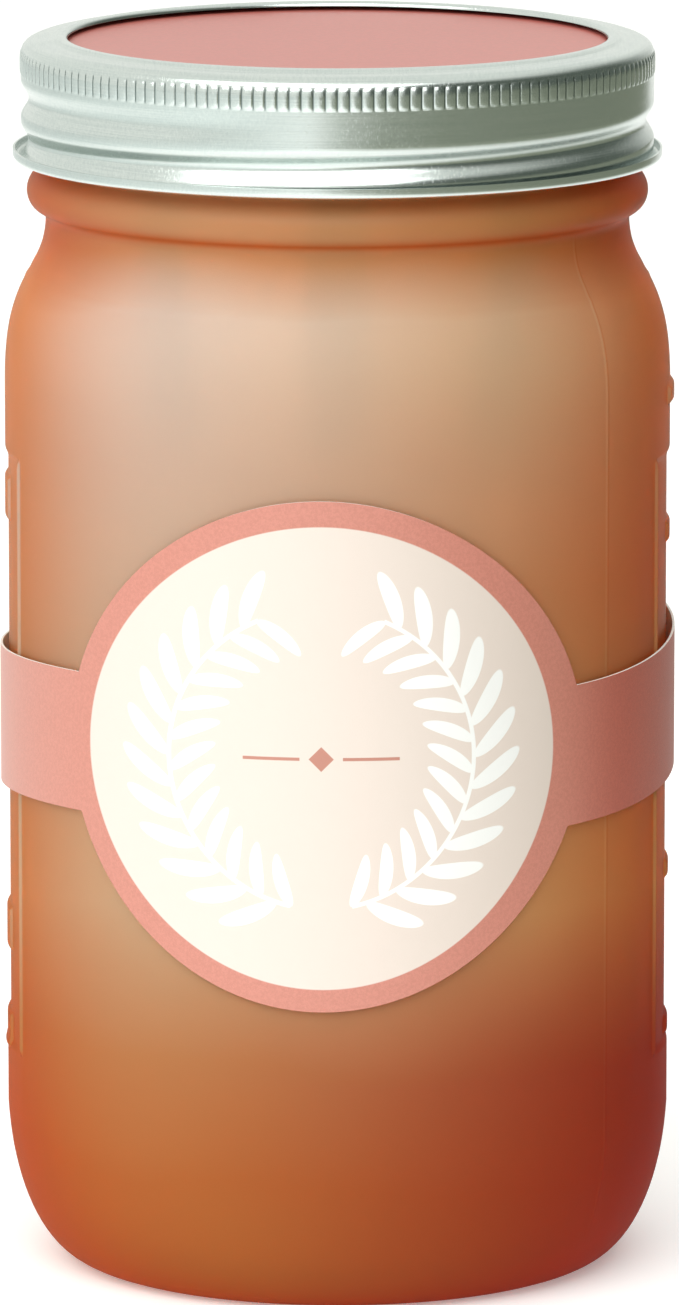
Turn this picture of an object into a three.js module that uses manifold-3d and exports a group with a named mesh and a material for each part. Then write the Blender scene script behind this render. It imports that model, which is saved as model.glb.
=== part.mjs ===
// A frosted grow jar kit: a wide-mouth glass jar closed by a lacquered tin disc and a screw band, with a
// card label wrapped round it, and a net pot, growing medium, wick and two packets inside.
// Millimetres, +Z up. The origin is on the ground under the jar's centre, and the label's round face
// looks along -Y. An azimuth is measured from that front, anticlockwise as seen from above.
import * as THREE from "three";
import { mergeVertices } from "three/addons/utils/BufferGeometryUtils.js";
import Module from "manifold-3d";

const TURN = 2 * Math.PI;
const DEGREE = Math.PI / 180;

// Facets round the big turned pieces, and the gap left between pieces that touch on the real thing.
const SIDES = 48;
const SMALL_SIDES = 36;
const GAP = 0.3;

// Glass jar, outside.
const BODY_RADIUS = 47.9;
const BASE_RADIUS = 36;
const BEARING_INNER_RADIUS = 33.5;
const HEEL_TOP = 22.5;
const SHOULDER_BOTTOM = 128.5;
const SHOULDER_TURN = { radius: 44.5, z: 144 };
const NECK_RADIUS = 41.9;
const NECK_TOP = 152.4;
const BEAD_RADIUS = 44.6;
const BEAD_Z = 156;
const FINISH_RADIUS = 42.5;
const FINISH_BOTTOM = 160;
const RIM_TOP = 173.9;
const PUSH_UP = 2.6;

// Glass jar, inside.
const INNER_RADIUS = 44.9;
const FLOOR_Z = 5.2;
const MOUTH_RADIUS = 38.6;

// Panels on the jar's two sides: a shallow recess between two ribs, with raised level bars in it.
const PANEL_AZIMUTHS = [90, 270];
const PANEL_HALF_ANGLE = 18;
const PANEL_RADIUS = 47.45;
const PANEL_BOTTOM = 31.5;
const PANEL_TOP = 119;
const RIB_WIDTH = 1.5;
const RIB_RADIUS = 48.2;
const LEVEL_BARS = [
  { azimuth: 90, z: 34.2, height: 3.2, length: 11, radius: 48 },
  { azimuth: 90, z: 57.3, height: 3.2, length: 11, radius: 48 },
  { azimuth: 90, z: 106.8, height: 3.6, length: 11, radius: 48 },
  { azimuth: 90, z: 127, height: 3.2, length: 16, radius: 48.5 },
  { azimuth: 270, z: 33.9, height: 5.4, length: 15, radius: 48 },
  { azimuth: 270, z: 48.8, height: 6.8, length: 15, radius: 48 },
  { azimuth: 270, z: 111.8, height: 6.8, length: 15, radius: 48 },
];

// Screw thread: right-hand, one start. Heights are those of the middle of the shape at the front.
const PITCH = 6;
const PRESSED_FRONT_Z = 164.7;
const PRESSED_WIDTH = 5.4;
const PRESSED_DEPTH = 1.15;
const PRESSED_TURNS = { start: -0.45, full: -0.2, fading: 0.76, end: 0.98 };
const THREAD_FRONT_Z = PRESSED_FRONT_Z + 2.4;
const THREAD_TURNS = { start: -0.5, end: 0.75, taper: 0.07 };
const THREAD_RADIUS = 44.2;
const THREAD_ROOT_HALF = 1.3;
const THREAD_CREST_HALF = 0.4;
const THREAD_STEPS = 45;

// Screw band.
const BAND_RADIUS = 45.4;
const BAND_WALL = 0.4;
const BAND_TOP = 178.2;
const BAND_BOTTOM = 160.5;
const BAND_OPENING_RADIUS = 38.7;
const FLANGE_UNDERSIDE = 177.2;
const CURL_RADIUS = 46.6;
const CURL_LIP = 0.7;
const WALL_BOTTOM = 162.8;
const WALL_TOP = 173;
const WALL_ROWS = 9;
const KNURL_BOTTOM = 172.8;
const KNURL_TOP = 176.1;
const KNURL_RADIUS = 45.65;
const KNURL_RIBS = 84;

// Disc, sealing ring and the net pot's flange, stacked on the rim.
const DISC_TOP = FLANGE_UNDERSIDE - GAP;
const DISC_THICKNESS = 0.5;
const DISC_RADIUS = 44;
const DISC_SKIRT = 1.9;
const SEAL_HEIGHT = 1;
const SEAL_INNER_RADIUS = 38.9;
const SEAL_OUTER_RADIUS = 42.2;
const SEAL_BOTTOM = DISC_TOP - DISC_THICKNESS - GAP - SEAL_HEIGHT;
const POT_TOP = SEAL_BOTTOM - GAP;
const FLANGE_HEIGHT = 0.6;
const FLANGE_RADIUS = 42.2;

// Net pot.
const POT_TOP_RADIUS = 37.9;
const POT_BOTTOM_RADIUS = 31;
const POT_BOTTOM = 116;
const POT_WALL = 1;
const POT_FLOOR = 1.2;
const SLOTS = 8;
const SLOT_WIDTH = 9;
const SLOT_BOTTOM = 122;
const SLOT_TOP = 160;
const FLOOR_SLOTS = 6;
const FLOOR_SLOT_WIDTH = 3.4;
const FLOOR_SLOT_START = 11;
const FLOOR_SLOT_END = 26;

// What the pot holds, and the wick that hangs from it into the jar.
const MEDIUM_TOP = 145;
const MEDIUM_EDGE = 3;
const WICK_WIDTH = 6;
const WICK_THICKNESS = 2;
const WICK_BOTTOM = 9;
const WICK_TOP = 134;
const SEED_PACKET = { width: 40, length: 52, thickness: 1.6, turn: 14 };
const FOOD_SACHET = { width: 34, length: 44, thickness: 4, turn: -28 };

// Card label: a strip round the jar that widens into a round face at the front.
const LABEL_RADIUS = 48.5;
const LABEL_THICKNESS = 0.35;
const LABEL_HEIGHT = 20;
const FACE_CENTRE = { azimuth: -2.7, z: 81.8 };
const FACE_HALF_WIDTH = 36.1;
const FACE_HALF_HEIGHT = 36.5;
const LABEL_OVERLAP = 9;
const LABEL_STEP = LABEL_THICKNESS + GAP;
// The strip's middle height round the jar is a short sum of waves: a tilt, and a slight twist.
const STRIP_MEAN_Z = 81.8;
const STRIP_WAVES = { cos1: -1.85, cos2: 0.35, sin1: 1.4, sin2: -1.7 };

const wasm = await Module();
wasm.setup();

// Turns a closed geometry into a solid for joins and cuts.
function solidOf(geometry) {
  const bare = geometry.clone();
  bare.deleteAttribute("normal");
  bare.deleteAttribute("uv");
  const merged = mergeVertices(bare, 1e-4);
  const vertProperties = merged.attributes.position.array;
  const triVerts = new Uint32Array(merged.index.array);
  return new wasm.Manifold(new wasm.Mesh({ numProp: 3, vertProperties, triVerts }));
}

// Turns a solid back into a geometry.
function geometryOf(solid) {
  const mesh = solid.getMesh();
  const geometry = new THREE.BufferGeometry();
  geometry.setAttribute("position", new THREE.BufferAttribute(new Float32Array(mesh.vertProperties), 3));
  geometry.setIndex(new THREE.BufferAttribute(new Uint32Array(mesh.triVerts), 1));
  geometry.computeVertexNormals();
  return geometry;
}

// Turns a closed outline of radius and height about +Z. The outline runs outwards along its underside and
// back along its top, so that the faces point out.
function turned(outline, sides = SIDES) {
  const points = outline.map(([radius, z]) => new THREE.Vector2(radius, z));
  const geometry = new THREE.LatheGeometry(points, sides);
  return geometry.rotateX(Math.PI / 2);
}

// The points of a smooth stretch of an outline, a cubic curve from one point to another.
function curve(from, pull1, pull2, to, steps) {
  const path = new THREE.CubicBezierCurve(
    new THREE.Vector2(...from),
    new THREE.Vector2(...pull1),
    new THREE.Vector2(...pull2),
    new THREE.Vector2(...to),
  );
  return path.getPoints(steps).map((point) => [point.x, point.y]);
}

// The points of a round stretch of an outline, by angle in degrees from straight out.
function arc(centre, radius, from, to, steps) {
  const path = new THREE.EllipseCurve(...centre, radius, radius, from * DEGREE, to * DEGREE, to < from);
  return path.getPoints(steps).map((point) => [point.x, point.y]);
}

// The place of a point given by its radius, its azimuth in degrees and its height.
function placed(radius, azimuth, z) {
  const angle = azimuth * DEGREE;
  return new THREE.Vector3(radius * Math.sin(angle), -radius * Math.cos(angle), z);
}

// A box bent round the axis: place(out, round, up) gives the radius, azimuth and height of the point whose
// shares of the way across, round and up the box are out, round and up.
function bentBox(steps, place) {
  const geometry = new THREE.BoxGeometry(1, 1, 1, ...steps);
  const position = geometry.attributes.position;
  for (let i = 0; i < position.count; i++) {
    const [radius, azimuth, z] = place(position.getX(i) + 0.5, position.getY(i) + 0.5, position.getZ(i) + 0.5);
    position.setXYZ(i, ...placed(radius, azimuth, z).toArray());
  }
  return geometry;
}

// A bar raised from, or cut into, a wall: straight sides, and ends narrowed by a bevel.
function wallBar({ azimuth, z, height, length, inner, outer, bevel, roundSteps = 1 }) {
  return bentBox([1, roundSteps, 1], (out, round, up) => {
    const radius = THREE.MathUtils.lerp(inner, outer, out);
    const narrowed = bevel * out;
    const halfAngle = (length / 2 - narrowed) / radius / DEGREE;
    return [radius, azimuth + (2 * round - 1) * halfAngle, z + (2 * up - 1) * (height / 2 - narrowed)];
  });
}

function jarOutside() {
  const neck = [NECK_RADIUS, NECK_TOP];
  const bead = [BEAD_RADIUS, BEAD_Z];
  const body = [BODY_RADIUS, SHOULDER_BOTTOM];
  const turning = [SHOULDER_TURN.radius, SHOULDER_TURN.z];
  return [
    [0, PUSH_UP],
    [24, PUSH_UP - 0.6],
    [BEARING_INNER_RADIUS - 2, 0.5],
    [BEARING_INNER_RADIUS, 0],
    ...curve([BASE_RADIUS, 0], [42.5, 0], [47.2, 10], [BODY_RADIUS, HEEL_TOP], 6),
    ...curve(body, [BODY_RADIUS, 136], [46.8, 139.9], turning, 4),
    ...curve(turning, [43, 146.7], [NECK_RADIUS, 148.6], neck, 4).slice(1),
    ...curve([NECK_RADIUS + 0.8, NECK_TOP + 0.8], [44, 153.6], [BEAD_RADIUS, 154.8], bead, 3),
    ...curve(bead, [BEAD_RADIUS, 157.6], [43.4, 158.6], [FINISH_RADIUS, FINISH_BOTTOM], 3).slice(1),
    [FINISH_RADIUS, RIM_TOP - 0.9],
    [FINISH_RADIUS - 0.9, RIM_TOP],
  ];
}

function jarInside() {
  const neck = [MOUTH_RADIUS, 151];
  const wall = [INNER_RADIUS, 127];
  return [
    [MOUTH_RADIUS + 0.8, RIM_TOP],
    [MOUTH_RADIUS, RIM_TOP - 0.9],
    ...curve(neck, [MOUTH_RADIUS, 146.5], [INNER_RADIUS, 140], wall, 5),
    ...curve([INNER_RADIUS, 22], [INNER_RADIUS - 0.4, 11], [39, FLOOR_Z - 0.2], [31, FLOOR_Z - 0.2], 4),
    [0, FLOOR_Z],
  ];
}

// The jar's thread: a ridge that climbs the finish, tapering away at both ends.
function jarThread() {
  const { start, end, taper } = THREAD_TURNS;
  return bentBox([1, THREAD_STEPS, 1], (out, round, up) => {
    const along = THREE.MathUtils.lerp(start, end, round);
    const nearEnd = Math.min(along - start, end - along) / taper;
    const share = THREE.MathUtils.smoothstep(nearEnd, 0, 1);
    const root = FINISH_RADIUS - 0.6;
    const crest = THREE.MathUtils.lerp(FINISH_RADIUS - 0.3, THREAD_RADIUS, share);
    const half = THREE.MathUtils.lerp(THREAD_ROOT_HALF, THREAD_CREST_HALF, out);
    const z = THREAD_FRONT_Z + PITCH * along + (2 * up - 1) * half;
    return [THREE.MathUtils.lerp(root, crest, out), along * 360, z];
  });
}

function makeJar() {
  let jar = solidOf(turned([...jarOutside(), ...jarInside()]));
  jar = jar.add(solidOf(jarThread()));
  for (const azimuth of PANEL_AZIMUTHS) {
    const z = (PANEL_BOTTOM + PANEL_TOP) / 2;
    const height = PANEL_TOP - PANEL_BOTTOM;
    const length = 2 * PANEL_HALF_ANGLE * DEGREE * BODY_RADIUS;
    const recess = { azimuth, z, height, length, inner: PANEL_RADIUS, outer: BODY_RADIUS + 1, bevel: -0.4 };
    jar = jar.subtract(solidOf(wallBar({ ...recess, roundSteps: 5 })));
    for (const side of [-1, 1]) {
      const rib = { azimuth: azimuth + side * PANEL_HALF_ANGLE, z, height, length: RIB_WIDTH };
      jar = jar.add(solidOf(wallBar({ ...rib, inner: PANEL_RADIUS - 0.5, outer: RIB_RADIUS, bevel: 0.4 })));
    }
  }
  for (const bar of LEVEL_BARS) {
    jar = jar.add(solidOf(wallBar({ ...bar, inner: PANEL_RADIUS - 0.5, outer: bar.radius, bevel: 0.5 })));
  }
  return geometryOf(jar);
}

// How deep the thread is pressed into the band's wall at an azimuth and height: a cosine valley along the
// helix, fading in and out over its first and last turns.
function pressedDepth(azimuth, z) {
  const { start, full, fading, end } = PRESSED_TURNS;
  let depth = 0;
  for (let turn = -1; turn <= 1; turn++) {
    const along = azimuth / 360 + turn;
    const offset = z - (PRESSED_FRONT_Z + PITCH * along);
    if (Math.abs(offset) < PRESSED_WIDTH / 2) {
      const fadeIn = THREE.MathUtils.smoothstep(along, start, full);
      const fadeOut = 1 - THREE.MathUtils.smoothstep(along, fading, end);
      depth += PRESSED_DEPTH * fadeIn * fadeOut * (0.5 + 0.5 * Math.cos((TURN * offset) / PRESSED_WIDTH));
    }
  }
  return depth;
}

// Presses the thread into the vertices of the band's straight wall.
function pressThread(geometry) {
  const position = geometry.attributes.position;
  for (let i = 0; i < position.count; i++) {
    const [x, y, z] = [position.getX(i), position.getY(i), position.getZ(i)];
    const radius = Math.hypot(x, y);
    const onWall = radius > BAND_RADIUS - BAND_WALL - 0.01 && z >= WALL_BOTTOM - 0.01 && z <= WALL_TOP + 0.01;
    if (onWall) {
      const azimuth = (Math.atan2(x, -y) / DEGREE + 360) % 360;
      const share = 1 - pressedDepth(azimuth, z) / radius;
      position.setXY(i, x * share, y * share);
    }
  }
  return geometry;
}

// A straight stretch of the band's wall in even rows, so that the thread can be pressed into it.
function wallRows(radius) {
  return Array.from({ length: WALL_ROWS + 1 }, (_, row) => [
    radius,
    THREE.MathUtils.lerp(WALL_BOTTOM, WALL_TOP, row / WALL_ROWS),
  ]);
}

function bandOutline() {
  const inner = BAND_RADIUS - BAND_WALL;
  const curlOuter = (CURL_RADIUS - inner) / 2;
  const curlCentre = [inner + curlOuter, BAND_BOTTOM + curlOuter];
  const lipRadius = (BAND_TOP - FLANGE_UNDERSIDE) / 2;
  const lipCentre = [BAND_OPENING_RADIUS + lipRadius + 0.4, BAND_TOP - lipRadius];
  return [
    ...wallRows(inner).reverse(),
    ...arc(curlCentre, curlOuter, 180, 360, 4),
    [CURL_RADIUS, curlCentre[1] + CURL_LIP],
    [CURL_RADIUS - BAND_WALL, curlCentre[1] + CURL_LIP],
    ...arc(curlCentre, curlOuter - BAND_WALL, 360, 180, 3),
    ...wallRows(BAND_RADIUS),
    [BAND_RADIUS, KNURL_TOP],
    [45, 176.9],
    [44.2, 177.4],
    [42, 177.65],
    ...arc(lipCentre, lipRadius, 60, 180, 4),
    [BAND_OPENING_RADIUS + 0.4, FLANGE_UNDERSIDE],
    [43.6, FLANGE_UNDERSIDE - 0.1],
    [44.6, 176.6],
    [inner, 175.8],
    [inner, WALL_TOP],
  ];
}

// The knurl: a ring whose outer edge steps out to a rib and back once for each rib.
function knurlRing() {
  const ring = new THREE.Shape();
  for (let rib = 0; rib < KNURL_RIBS; rib++) {
    const corners = [
      [BAND_RADIUS, 0.05],
      [KNURL_RADIUS, 0.25],
      [KNURL_RADIUS, 0.75],
      [BAND_RADIUS, 0.95],
    ];
    for (const [radius, share] of corners) {
      const angle = ((rib + share) / KNURL_RIBS) * TURN;
      const draw = rib === 0 && share < 0.1 ? "moveTo" : "lineTo";
      ring[draw](radius * Math.cos(angle), radius * Math.sin(angle));
    }
  }
  const hole = new THREE.Path();
  hole.absarc(0, 0, BAND_RADIUS - BAND_WALL / 2, 0, TURN, true);
  ring.holes.push(hole);
  const height = KNURL_TOP - KNURL_BOTTOM;
  const geometry = new THREE.ExtrudeGeometry(ring, { depth: height, bevelEnabled: false, curveSegments: SIDES });
  return geometry.translate(0, 0, KNURL_BOTTOM);
}

function makeBand() {
  const pressed = pressThread(turned(bandOutline()));
  return geometryOf(solidOf(pressed).add(solidOf(knurlRing())));
}

function makeDisc() {
  const under = DISC_TOP - DISC_THICKNESS;
  const skirtBottom = DISC_TOP - DISC_SKIRT;
  const skirtInner = DISC_RADIUS - DISC_THICKNESS;
  return turned([
    [0, under],
    [skirtInner, under],
    [skirtInner, skirtBottom],
    [DISC_RADIUS, skirtBottom],
    [DISC_RADIUS, DISC_TOP - 0.4],
    [DISC_RADIUS - 0.4, DISC_TOP],
    [0, DISC_TOP],
  ]);
}

// A flat ring with square edges.
function flatRing(innerRadius, outerRadius, bottom, height) {
  return turned([
    [innerRadius, bottom],
    [outerRadius, bottom],
    [outerRadius, bottom + height],
    [innerRadius, bottom + height],
    [innerRadius, bottom],
  ]);
}

// The pot's outer radius at a height.
function potRadius(z) {
  return THREE.MathUtils.mapLinear(z, POT_BOTTOM, POT_TOP, POT_BOTTOM_RADIUS, POT_TOP_RADIUS);
}

function makeNetPot() {
  const floorTop = POT_BOTTOM + POT_FLOOR;
  const flangeBottom = POT_TOP - FLANGE_HEIGHT;
  const cup = [
    [0, POT_BOTTOM],
    [POT_BOTTOM_RADIUS, POT_BOTTOM],
    [potRadius(flangeBottom), flangeBottom],
    [FLANGE_RADIUS, flangeBottom],
    [FLANGE_RADIUS, POT_TOP],
    [potRadius(POT_TOP) - POT_WALL, POT_TOP],
    [potRadius(floorTop) - POT_WALL, floorTop],
    [0, floorTop],
  ];
  let pot = solidOf(turned(cup, SMALL_SIDES));
  for (let slot = 0; slot < SLOTS; slot++) {
    const cut = new THREE.BoxGeometry(SLOT_WIDTH, 16, SLOT_TOP - SLOT_BOTTOM);
    cut.translate(0, -potRadius((SLOT_BOTTOM + SLOT_TOP) / 2), (SLOT_BOTTOM + SLOT_TOP) / 2);
    pot = pot.subtract(solidOf(cut.rotateZ((slot / SLOTS) * TURN)));
  }
  for (let slot = 0; slot < FLOOR_SLOTS; slot++) {
    const cut = new THREE.BoxGeometry(FLOOR_SLOT_WIDTH, FLOOR_SLOT_END - FLOOR_SLOT_START, 3 * POT_FLOOR);
    cut.translate(0, -(FLOOR_SLOT_START + FLOOR_SLOT_END) / 2, POT_BOTTOM + POT_FLOOR / 2);
    pot = pot.subtract(solidOf(cut.rotateZ((slot / FLOOR_SLOTS) * TURN)));
  }
  const wickHole = new THREE.BoxGeometry(WICK_WIDTH + 2 * GAP, WICK_THICKNESS + 2 * GAP, 3 * POT_FLOOR);
  wickHole.translate(0, 0, POT_BOTTOM + POT_FLOOR / 2);
  return geometryOf(pot.subtract(solidOf(wickHole)));
}

// The medium fills the pot's lower half, with a socket in its underside for the wick.
function makeMedium() {
  const bottom = POT_BOTTOM + POT_FLOOR + GAP;
  const inset = POT_WALL + 2 * GAP;
  const outline = [
    [0, bottom],
    [potRadius(bottom) - inset, bottom],
    [potRadius(MEDIUM_TOP - MEDIUM_EDGE) - inset, MEDIUM_TOP - MEDIUM_EDGE],
    [potRadius(MEDIUM_TOP) - inset - MEDIUM_EDGE, MEDIUM_TOP],
    [0, MEDIUM_TOP],
  ];
  const depth = WICK_TOP + GAP - bottom;
  const socket = new THREE.BoxGeometry(WICK_WIDTH + 2 * GAP, WICK_THICKNESS + 2 * GAP, 2 * depth);
  socket.translate(0, 0, bottom);
  return geometryOf(solidOf(turned(outline, SMALL_SIDES)).subtract(solidOf(socket)));
}

function makeWick() {
  const wick = new THREE.BoxGeometry(WICK_WIDTH, WICK_THICKNESS, WICK_TOP - WICK_BOTTOM);
  return wick.translate(0, 0, (WICK_TOP + WICK_BOTTOM) / 2);
}

// A flat packet whose long edges and corners thin towards their seams.
function makePacket({ width, length, thickness, turn }, bottom) {
  const packet = new THREE.BoxGeometry(width, length, thickness, 4, 4, 1);
  const position = packet.attributes.position;
  for (let i = 0; i < position.count; i++) {
    const acrossShare = Math.abs(position.getX(i)) / (width / 2);
    const alongShare = Math.abs(position.getY(i)) / (length / 2);
    const full = (1 - acrossShare ** 4) * (1 - alongShare ** 4);
    position.setZ(i, position.getZ(i) * THREE.MathUtils.lerp(0.4, 1, full));
  }
  packet.rotateZ(turn * DEGREE);
  return packet.translate(0, 0, bottom + thickness / 2);
}

// The strip's middle height at an azimuth.
function stripMiddle(azimuth) {
  const angle = azimuth * DEGREE;
  const { cos1, cos2, sin1, sin2 } = STRIP_WAVES;
  const even = cos1 * Math.cos(angle) + cos2 * Math.cos(2 * angle);
  const odd = sin1 * Math.sin(angle) + sin2 * Math.sin(2 * angle);
  return STRIP_MEAN_Z + even + odd;
}

// The label's lower and upper edge at an azimuth: the strip's, or the round face's where that is further.
function labelEdges(azimuth) {
  const low = stripMiddle(azimuth) - LABEL_HEIGHT / 2;
  const high = low + LABEL_HEIGHT;
  const across = (LABEL_RADIUS * Math.sin((azimuth - FACE_CENTRE.azimuth) * DEGREE)) / FACE_HALF_WIDTH;
  if (Math.abs(azimuth) > 90 || Math.abs(across) > 1) {
    return [low, high];
  }
  const half = FACE_HALF_HEIGHT * Math.sqrt(1 - across ** 2);
  return [Math.min(low, FACE_CENTRE.z - half), Math.max(high, FACE_CENTRE.z + half)];
}

// Azimuths across the round face, closer together towards its steep sides, and even ones round the back.
function labelAzimuths() {
  const faceSteps = 24;
  const backSteps = 30;
  const faceHalf = Math.asin(FACE_HALF_WIDTH / LABEL_RADIUS) / DEGREE;
  const azimuths = [];
  for (let i = 0; i <= faceSteps; i++) {
    const across = -Math.cos((Math.PI * i) / faceSteps);
    azimuths.push(FACE_CENTRE.azimuth + Math.asin((across * FACE_HALF_WIDTH) / LABEL_RADIUS) / DEGREE);
  }
  const left = FACE_CENTRE.azimuth - faceHalf;
  const right = FACE_CENTRE.azimuth + faceHalf;
  for (let i = 1; i <= backSteps / 2; i++) {
    const share = (2 * i) / backSteps;
    azimuths.push(THREE.MathUtils.lerp(right, 180 + LABEL_OVERLAP / 2, share));
    azimuths.unshift(THREE.MathUtils.lerp(left, -180 - LABEL_OVERLAP / 2, share));
  }
  return azimuths;
}

// The label is one sheet: its right-hand end passes over its left-hand end at the back of the jar.
function makeLabel() {
  const azimuths = labelAzimuths();
  const last = azimuths.length - 1;
  return bentBox([1, last, 1], (out, round, up) => {
    const azimuth = azimuths[Math.round(round * last)];
    const [low, high] = labelEdges(azimuth);
    const step = LABEL_STEP * THREE.MathUtils.smoothstep(azimuth, 160, 180 - LABEL_OVERLAP / 2);
    return [LABEL_RADIUS + step + out * LABEL_THICKNESS, azimuth, THREE.MathUtils.lerp(low, high, up)];
  });
}

const finishes = {
  glass: { color: "#cf8a62", roughness: 0.6, metalness: 0, transparent: true, opacity: 0.75 },
  tin: { color: "#c9ccc6", roughness: 0.25, metalness: 1 },
  lacquer: { color: "#d39a8f", roughness: 0.45, metalness: 0.1 },
  rubber: { color: "#e6e0d8", roughness: 0.7, metalness: 0 },
  card: { color: "#cf8f86", roughness: 0.85, metalness: 0 },
  plastic: { color: "#f1ece4", roughness: 0.5, metalness: 0 },
  coir: { color: "#6b4a33", roughness: 1, metalness: 0 },
  felt: { color: "#efe9df", roughness: 1, metalness: 0 },
  paper: { color: "#efe6d6", roughness: 0.9, metalness: 0 },
  foil: { color: "#d9d7d2", roughness: 0.4, metalness: 0.6 },
};

const kit = new THREE.Group();

function addPiece(name, geometry, finish) {
  const mesh = new THREE.Mesh(geometry, new THREE.MeshStandardMaterial(finishes[finish]));
  mesh.name = name;
  kit.add(mesh);
}

addPiece("glass_jar", makeJar(), "glass");
addPiece("screw_band", makeBand(), "tin");
addPiece("lid_disc", makeDisc(), "lacquer");
addPiece("lid_seal", flatRing(SEAL_INNER_RADIUS, SEAL_OUTER_RADIUS, SEAL_BOTTOM, SEAL_HEIGHT), "rubber");
addPiece("label_band", makeLabel(), "card");
addPiece("net_pot", makeNetPot(), "plastic");
addPiece("growing_medium", makeMedium(), "coir");
addPiece("wick", makeWick(), "felt");
const seedPacketBottom = MEDIUM_TOP + GAP;
addPiece("seed_packet", makePacket(SEED_PACKET, seedPacketBottom), "paper");
addPiece("plant_food_sachet", makePacket(FOOD_SACHET, seedPacketBottom + SEED_PACKET.thickness + GAP), "foil");

export default kit;
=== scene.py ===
"""A frosted grow jar kit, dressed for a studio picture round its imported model.

Shapes are worked out in millimetres and put into meshes in metres, +Z up, with the label's round face
towards -Y. An azimuth is in degrees from that front, anticlockwise as seen from above, so a point at
radius r and azimuth a is at x = r sin a, y = -r cos a.
"""

import math

import bpy
import numpy as np
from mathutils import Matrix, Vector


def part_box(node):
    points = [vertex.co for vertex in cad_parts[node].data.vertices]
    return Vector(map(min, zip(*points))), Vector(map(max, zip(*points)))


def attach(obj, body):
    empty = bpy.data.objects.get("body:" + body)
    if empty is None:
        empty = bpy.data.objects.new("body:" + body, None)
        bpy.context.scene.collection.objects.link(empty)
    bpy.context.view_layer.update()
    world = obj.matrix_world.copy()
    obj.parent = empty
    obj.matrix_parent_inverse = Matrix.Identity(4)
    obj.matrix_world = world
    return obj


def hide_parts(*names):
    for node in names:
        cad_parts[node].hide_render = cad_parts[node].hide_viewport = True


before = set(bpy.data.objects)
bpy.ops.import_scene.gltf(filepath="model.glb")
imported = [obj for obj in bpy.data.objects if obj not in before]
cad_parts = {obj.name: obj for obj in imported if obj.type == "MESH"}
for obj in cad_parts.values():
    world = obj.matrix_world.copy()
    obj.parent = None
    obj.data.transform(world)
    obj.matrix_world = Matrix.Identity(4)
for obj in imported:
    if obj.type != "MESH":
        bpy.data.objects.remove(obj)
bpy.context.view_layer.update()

MM = 0.001
TURN = 360.0


def heights(node):
    """A node's lowest and highest point, in millimetres."""
    low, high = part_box(node)
    return low.z / MM, high.z / MM


# The photograph's frame in pixels, the camera fitted to it, and how far its axis stands from the middle.
PHOTO_WIDTH = 679
PHOTO_HEIGHT = 1305
CAMERA_DISTANCE = 1625.0
CAMERA_ELEVATION = 10.15
CAMERA_FOCAL_PIXELS = 11234
CAMERA_AIM_Z = 88.17
CAMERA_SIDE = 0.29
SENSOR = 36.0

# Glass jar, outside and inside.
BODY_RADIUS = 47.9
BASE_RADIUS = 36.0
BEARING_INNER_RADIUS = 33.5
PUSH_UP = 2.6
HEEL_TOP = 22.5
SHOULDER_BOTTOM = 128.5
SHOULDER_TURN = (44.5, 144.0)
NECK_RADIUS = 41.9
NECK_TOP = 152.4
BEAD_RADIUS = 44.6
BEAD_Z = 156.0
FINISH_RADIUS = 42.5
FINISH_BOTTOM = 160.0
RIM_TOP = heights("glass_jar")[1]
GLASS_HEIGHT = RIM_TOP
RIM_ROUND = 0.9
INNER_RADIUS = 44.9
MOUTH_RADIUS = 38.6
FLOOR_Z = 5.2
FLOOR_DIP = 0.2
# The last ring round each pole of a piece that is closed on the axis.
POLE_RADIUS = 2

# The two side panels, their ribs and level bars, and the mould seams.
PANELS = (90.0, 270.0)
PANEL_HALF_ANGLE = 18.0
PANEL_DEPTH = 0.45
PANEL_Z = (31.5, 119.0)
PANEL_MARGIN = 0.6
PANEL_EDGE = 1.2
BAR_EDGE = 0.8
RIB_HALF = 0.75
RIB_HEIGHT = 0.35
LEVEL_BARS = (
    (90.0, 34.2, 3.2, 11.0, 0.5),
    (90.0, 57.3, 3.2, 11.0, 0.5),
    (90.0, 106.8, 3.6, 11.0, 0.5),
    (90.0, 127.0, 3.2, 16.0, 0.6),
    (270.0, 33.9, 5.4, 15.0, 0.5),
    (270.0, 48.8, 6.8, 15.0, 0.5),
    (270.0, 111.8, 6.8, 15.0, 0.5),
)
SEAMS = (53.0, 233.0)
SEAM_HALF = 0.35
SEAM_HEIGHT = 0.07
NECK_LINES = (143.4, 145.4)
NECK_LINE_HEIGHT = 0.09
NECK_LINE_HALF = 0.45

# Screw thread: right-hand, one start, and the same helix pressed into the band.
PITCH = 6.0
PRESSED_FRONT_Z = 164.7
PRESSED_WIDTH = 5.4
PRESSED_DEPTH = 1.15
PRESSED_START = (-0.45, -0.2)
PRESSED_END = (0.76, 0.98)
THREAD_FRONT_Z = PRESSED_FRONT_Z + 2.4
THREAD_TURNS = (-0.5, 0.75)
THREAD_TAPER = 0.07
THREAD_HEIGHT = 1.7
THREAD_ROOT_HALF = 1.3
THREAD_CREST_HALF = 0.4

# Screw band: the tin's centre line, its knurl and its rolled edges.
BAND_BOTTOM, BAND_TOP = heights("screw_band")
TIN = 0.3
WALL_RADIUS = 45.25
CURL_RADIUS = 0.65
CURL_CENTRE = (45.8, BAND_BOTTOM + CURL_RADIUS + TIN / 2)
CURL_LIP = 0.75
WALL_BOTTOM = 162.8
KNURL_Z = (172.7, 176.2)
KNURL_RIBS = 168
KNURL_HEIGHT = 0.14
PAD_HALF = 0.46
PAD_EDGE = (0.25, 1.0)
LEAN_START = 175.0
LEAN = -0.12
OPENING_RADIUS = 38.7

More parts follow.
